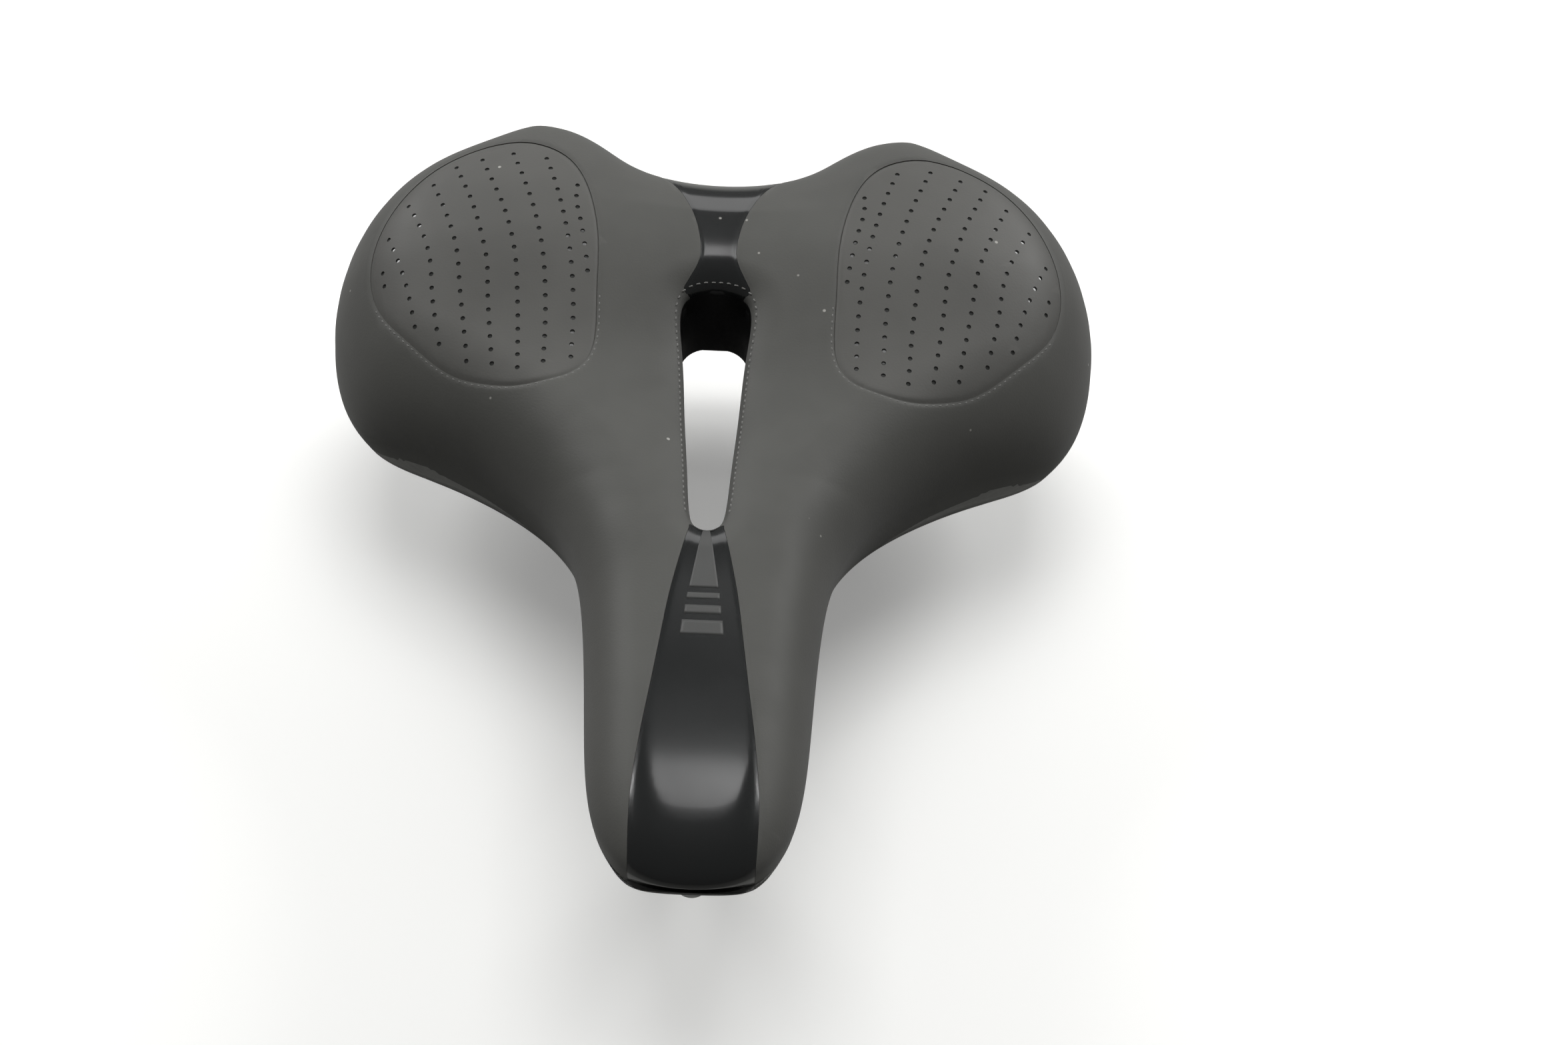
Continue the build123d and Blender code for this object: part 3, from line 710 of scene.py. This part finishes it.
def stitchRow(name, ring, offset, lift, keep):
    at = closedCurve(ring[::8], 4000)
    along = np.roll(at, -1, 0) - at
    run = np.linalg.norm(along, axis=1)
    along /= run[:, None]
    out = np.stack([along[:, 1], -along[:, 0]], 1)
    total = run.sum()
    number = int(total / stitch["pitch"])
    rowVerts, rowFaces = [], []
    sides = 8
    profile = [(-0.5, 0.0), (-0.46, 0.6), (-0.3, 1.0), (0.0, 1.1), (0.3, 1.0), (0.46, 0.6), (0.5, 0.0)]
    marks = np.searchsorted(np.cumsum(run), np.arange(number) * total / number)
    for k in marks:
        k = min(k, len(at) - 1)
        x, y = at[k] + out[k] * offset
        if not keep(x, y):
            continue
        spot, normal = surfaceFrame(x, y)
        spot = spot + normal * lift
        forward = Vector((along[k][0], along[k][1], 0))
        forward = (forward - normal * forward.dot(normal)).normalized()
        beside = normal.cross(forward)
        first = len(rowVerts)
        for place, scale in profile:
            for s in range(sides):
                a = 2 * math.pi * s / sides
                r = stitch["radius"] * max(scale, 0.02)
                rowVerts.append(spot + forward * (place * stitch["length"]) + beside * (r * math.cos(a))
                                + normal * (r * math.sin(a) - (0.2 if abs(place) > 0.4 else 0.0)))
        for row in range(len(profile) - 1):
            for s in range(sides):
                a, b = first + row * sides + s, first + row * sides + (s + 1) % sides
                rowFaces.append([a, b, b + sides, a + sides])
        rowFaces.append([first + s for s in reversed(range(sides))])
        rowFaces.append([len(rowVerts) - sides + s for s in range(sides)])
    piece = newPiece(name, rowVerts, rowFaces, materials["thread"])
    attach(piece, "seat")
    return piece


stitchRow("rim_stitching", openingRing, stitch["rimOffset"], 0.05, lambda x, y: y > opening["front"] + 4)
for side, label in ((-1, "left"), (1, "right")):
    spin = insertRing[side] if side > 0 else insertRing[side][::-1]
    stitchRow(f"insert_stitching_{label}", spin, stitch["insertOffset"], -stitch["insertSink"],
              lambda x, y: y < 30)
print("stitched")

# plain matt bars printed on the nose panel
bars = dict(lift=0.02, strips=[(-50.5, -71.0, 0.9, 3.85), (-72.6, -74.6, 4.15, 4.3), (-76.6, -79.4, 4.6, 4.8),
                               (-81.4, -86.0, 5.2, 5.6)])
barVerts, barFaces = [], []
for start, end, wideStart, wideEnd in bars["strips"]:
    rows = max(3, int(abs(end - start) / 0.8))
    first = len(barVerts)
    for r in range(rows + 1):
        t = r / rows
        y = start + (end - start) * t
        half = wideStart + (wideEnd - wideStart) * t
        xs = np.linspace(-half, half, 13)
        zs = seatTop(xs, np.full(13, y)) + bars["lift"]
        barVerts += [(x, y, z) for x, z in zip(xs, zs)]
    for r in range(rows):
        for c in range(12):
            a = first + r * 13 + c
            barFaces.append((a, a + 13, a + 14, a + 1))
barPiece = newPiece("nose_bars", barVerts, barFaces, materials["mattPrint"])
thin = barPiece.modifiers.new("thickness", "SOLIDIFY")
thin.thickness = 0.06 * mm
thin.offset = -1
applyModifiers(barPiece)
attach(barPiece, "seat")

# foam pad, a crowned closed cushion under the covers
cushion = dict(below=1.7, skirtGap=1.6, tunnelGap=3.6, thick=19.5, thin=0.4)
foamRings = []
foamUse = [r for r, k in zip(rings, kinds) if k in ("skirt", "top")]
for r in foamUse[1::2]:
    q = r.copy()
    q[:, 2] -= cushion["below"]
    length = np.linalg.norm(crossing, axis=1)[:, None]
    share = np.clip(np.linalg.norm(q[:, :2] - outerRing, axis=1)[:, None] / length, 0, 1)
    shift = cushion["skirtGap"] - (cushion["skirtGap"] + cushion["tunnelGap"]) * share
    q[:, :2] += crossing / length * shift      # clear of the skirt and of the tunnel wall
    foamRings.append(q)
bottomRings = []
for r in reversed(foamRings):
    q = r.copy()
    underside = crown(q[:, 0], q[:, 1]) - 2.0 - cushion["thick"]
    q[:, 2] = np.minimum(q[:, 2] - cushion["thin"], underside)
    q[:, 2] = np.maximum(q[:, 2], smoothRamp(seat["skirt"], q[:, 1]) + 1.0)
    q[:, 2] = np.minimum(q[:, 2], r[:, 2] - cushion["thin"])
    bottomRings.append(q)
foamVerts, foamFaces = skinMesh(foamRings + bottomRings)
count = seat["around"]
lastRow = (len(foamRings) + len(bottomRings) - 1) * count
foamFaces += [(lastRow + i, lastRow + (i + 1) % count, (i + 1) % count, i) for i in range(count)]
foam = newPiece("foam_cushion", foamVerts, foamFaces, materials["foamSkin"])
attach(foam, "seat")
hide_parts("foam_pad")
print("foam made")

# elastomers squash between bracket and base
rubber = dict(waistIn=2.5, bore=3.6, lobes=3, segments=64)
for label in ("left", "right"):
    node = f"elastomer_{label}"
    low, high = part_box(node)
    centre = (low + high) / 2
    tall = (high.z - low.z) / mm
    belly = (high.x - low.x) / 2 / mm - 0.05
    waist = belly - rubber["waistIn"]
    profile = [(rubber["bore"], 0.0), (waist - 0.8, 0.0)]
    stepsUp = 42
    for k in range(stepsUp + 1):
        z = tall * k / stepsUp
        wave = abs(math.sin(math.pi * rubber["lobes"] * k / stepsUp)) ** 0.7
        profile.append((waist + (belly - waist) * wave, 0.15 + (tall - 0.3) * k / stepsUp))
    profile += [(waist - 0.8, tall), (rubber["bore"], tall)]
    ringVerts = []
    for radius, z in profile:
        for s in range(rubber["segments"]):
            a = 2 * math.pi * s / rubber["segments"]
            x, y = centre.x / mm + radius * math.cos(a), centre.y / mm + radius * math.sin(a)
            ringVerts.append((x, y, low.z / mm + z))
    n, rows = rubber["segments"], len(profile)
    ringFaces = []
    for r in range(rows):
        for s in range(n):
            a, b = r * n + s, r * n + (s + 1) % n
            c, d = ((r + 1) % rows) * n + (s + 1) % n, ((r + 1) % rows) * n + s
            ringFaces.append((a, b, c, d))
    piece = newPiece(node + "_rubber", ringVerts, ringFaces, materials["elastomerRubber"])
    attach(piece, "undercarriage")
    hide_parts(node)
    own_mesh(piece)
print("elastomers made")

# the CAD pieces that stay get their own finishes
cadLooks = {"rail_frame": "blackPowder", "rear_bracket": "blackPowder", "weld_beads": "blackPowder",
            "base_shell": "mouldedBase", "nose_clip": "mouldedBase", "suspension_bolts": "zincSteel",
            "bolt_washers": "zincSteel", "bolt_nuts": "zincSteel", "clip_screws": "zincSteel",
            "cover_staples": "zincSteel", "gel_pad_left": "gelBlue", "gel_pad_right": "gelBlue"}
for node, look in cadLooks.items():
    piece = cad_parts[node]
    for slotPlace in piece.material_slots:
        slotPlace.material = materials[look]
    if not piece.material_slots:
        piece.data.materials.append(materials[look])
print("finishes set")

# floor, light and camera
# the floor's bounce colour is a painted shade: a far darker floor colour that only non-camera rays see
studio = dict(floorSize=6.0, floorColour=(0.82, 0.82, 0.805), paintedShadeBounceColour=(0.24, 0.24, 0.23), floorGlow=0.26,
              worldLevel=0.10, aim=(0, 0, 0.05))
softboxes = {      # place, size, power, seen in reflections
    "rear_soft": ((0.0, 1.05, 0.72), (1.5, 0.5), 3.2, True),
    "left_rear": ((-0.85, 0.60, 0.74), (0.5, 0.4), 5.5, True),
    "right_rear": ((0.85, 0.60, 0.74), (0.5, 0.4), 6.0, True),
    "high_rear": ((0.05, 0.42, 1.10), (0.24, 0.16), 0.45, True),
    "top_soft": ((0.0, 0.25, 1.25), (0.9, 0.9), 9.5, False),
}


def makeFloor():
    half = studio["floorSize"] / 2
    low = cadBox[0].z / mm
    corners = [(-half / mm, -half / mm, low), (half / mm, -half / mm, low), (half / mm, half / mm, low),
               (-half / mm, half / mm, low)]
    material = bpy.data.materials.new("studioFloor")
    material.use_nodes = True
    tree = material.node_tree
    shader = tree.nodes["Principled BSDF"]
    shader.inputs["Roughness"].default_value = 0.6
    cloud = addNode(tree, "ShaderNodeTexNoise", Scale=3.0, Detail=2.0)
    tint = addNode(tree, "ShaderNodeMix", data_type="RGBA")
    tree.links.new(cloud.outputs["Fac"], tint.inputs["Factor"])
    tint.inputs[6].default_value = (*studio["floorColour"], 1)
    tint.inputs[7].default_value = (*[c * 0.99 for c in studio["floorColour"]], 1)
    ray = addNode(tree, "ShaderNodeLightPath")
    seen = mathNode(tree, "MAXIMUM", ray.outputs["Is Camera Ray"], ray.outputs["Is Transmission Ray"])
    # painted shade: every ray but the camera's sees the floor in the dark bounce colour instead of its own
    # colour, which dims the light bounced onto the seat's flanks and darkens what its glossy panels reflect
    choice = addNode(tree, "ShaderNodeMix", data_type="RGBA")
    tree.links.new(seen, choice.inputs["Factor"])
    choice.inputs[6].default_value = (*studio["paintedShadeBounceColour"], 1)
    tree.links.new(tint.outputs[2], choice.inputs[7])
    tree.links.new(choice.outputs[2], shader.inputs["Base Color"])
    shader.inputs["Emission Color"].default_value = (1.0, 1.0, 0.985, 1)
    tree.links.new(mathNode(tree, "MULTIPLY", seen, studio["floorGlow"]), shader.inputs["Emission Strength"])
    clear = addNode(tree, "ShaderNodeBsdfTransparent")     # seen through from below
    side = addNode(tree, "ShaderNodeNewGeometry")
    either = addNode(tree, "ShaderNodeMixShader")
    tree.links.new(side.outputs["Backfacing"], either.inputs[0])
    tree.links.new(shader.outputs[0], either.inputs[1])
    tree.links.new(clear.outputs[0], either.inputs[2])
    tree.links.new(either.outputs[0], tree.nodes["Material Output"].inputs["Surface"])
    floor = newPiece("studio_floor", corners, [(0, 1, 2, 3)], material, smooth=False)


def makeLight(name, place, size, power, mirrored):
    data = bpy.data.lights.new(name, "AREA")
    data.shape = "RECTANGLE"
    data.size, data.size_y = size
    data.energy = power
    light = bpy.data.objects.new(name, data)
    light.location = place
    light.visible_glossy = mirrored
    toSeat = Vector(studio["aim"]) - Vector(place)
    light.rotation_euler = toSeat.to_track_quat("-Z", "Y").to_euler()
    bpy.context.scene.collection.objects.link(light)


def makeCamera():
    shot = dict(azimuth=-2.56, elevation=49.12, distance=0.6296, roll=4.28, aim=(0.0213, -0.0288, 0.060),
                lens=52.04)
    a, e, r = (math.radians(shot[k]) for k in ("azimuth", "elevation", "roll"))
    back = Vector((math.sin(a) * math.cos(e), -math.cos(a) * math.cos(e), math.sin(e)))
    right = (-back).cross(Vector((0, 0, 1))).normalized()
    up = right.cross(-back)
    across = right * math.cos(r) + up * math.sin(r)
    above = up * math.cos(r) - right * math.sin(r)
    data = bpy.data.cameras.new("camera")
    data.lens, data.sensor_width = shot["lens"], 36.0
    camera = bpy.data.objects.new("camera", data)
    turn = Matrix((across, above, back)).transposed().to_4x4()
    camera.matrix_world = Matrix.Translation(Vector(shot["aim"]) + back * shot["distance"]) @ turn
    bpy.context.scene.collection.objects.link(camera)
    bpy.context.scene.camera = camera


makeFloor()
for name, (place, size, power, mirrored) in softboxes.items():
    makeLight(name, place, size, power, mirrored)
world = bpy.data.worlds.new("studio")
bpy.context.scene.world = world
world.use_nodes = True
sky = world.node_tree
skyLight = sky.nodes["Background"]
skyLight.inputs["Color"].default_value = (1.0, 1.0, 0.99, 1)
skyRay = addNode(sky, "ShaderNodeLightPath")
camOnly = mathNode(sky, "MULTIPLY", skyRay.outputs["Is Camera Ray"], 1.0 - studio["worldLevel"])
sky.links.new(mathNode(sky, "ADD", camOnly, studio["worldLevel"]), skyLight.inputs["Strength"])
makeCamera()
bpy.context.scene.view_settings.view_transform = "Standard"
print("studio set")
